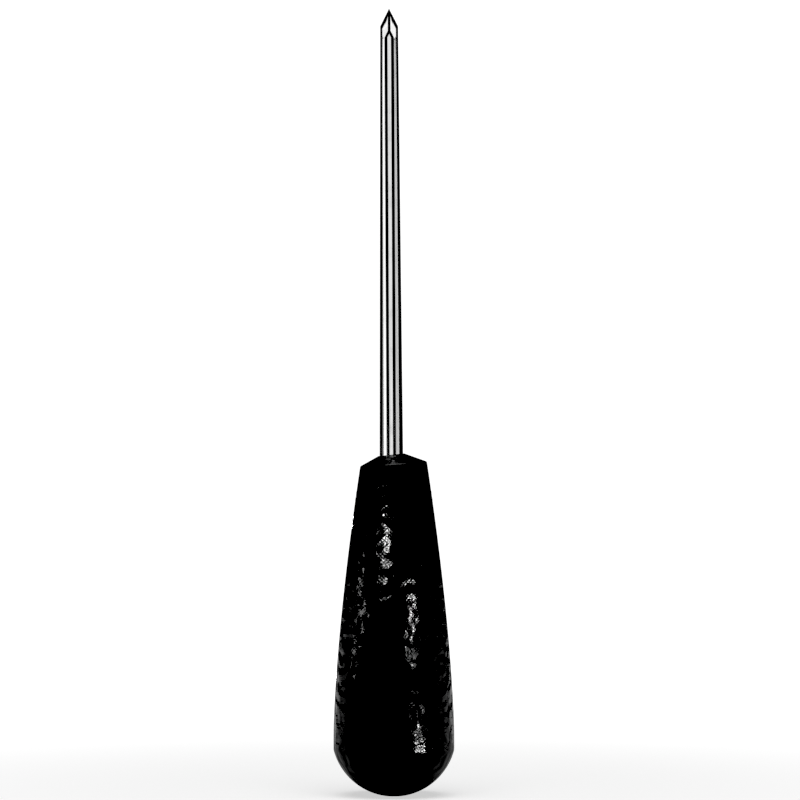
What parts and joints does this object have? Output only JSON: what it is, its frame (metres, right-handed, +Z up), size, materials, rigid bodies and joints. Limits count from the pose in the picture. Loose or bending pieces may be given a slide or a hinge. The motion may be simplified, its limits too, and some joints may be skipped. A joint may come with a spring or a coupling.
{
  "type": "scratch awl",
  "caption": "Awl: a tapered steel blade with ground flats and a four-sided point, set in a black tapered grip with a conical nose and domed butt.",
  "frame": {"origin": "middle of the butt's lowest point, on the handle's own axis", "axes": "+Z up the tool from butt to point; the blade sits slightly off centre towards -X; the XZ plane is the tool's plane of symmetry, and -Y is its front"},
  "size_m": [0.0306, 0.0306, 0.2],
  "materials": {
    "grip": "satin black cloth-filled phenolic, turned and polished",
    "blade_steel": "ground and polished stainless steel",
    "cement": "dull cured epoxy",
    "pin_steel": "dressed flush with the grip"
  },
  "bodies": {
    "root": {"handle": "grip", "blade": "blade_steel", "tang_cement": "cement", "tang_pin": "pin_steel"}
  },
  "joints": []
}
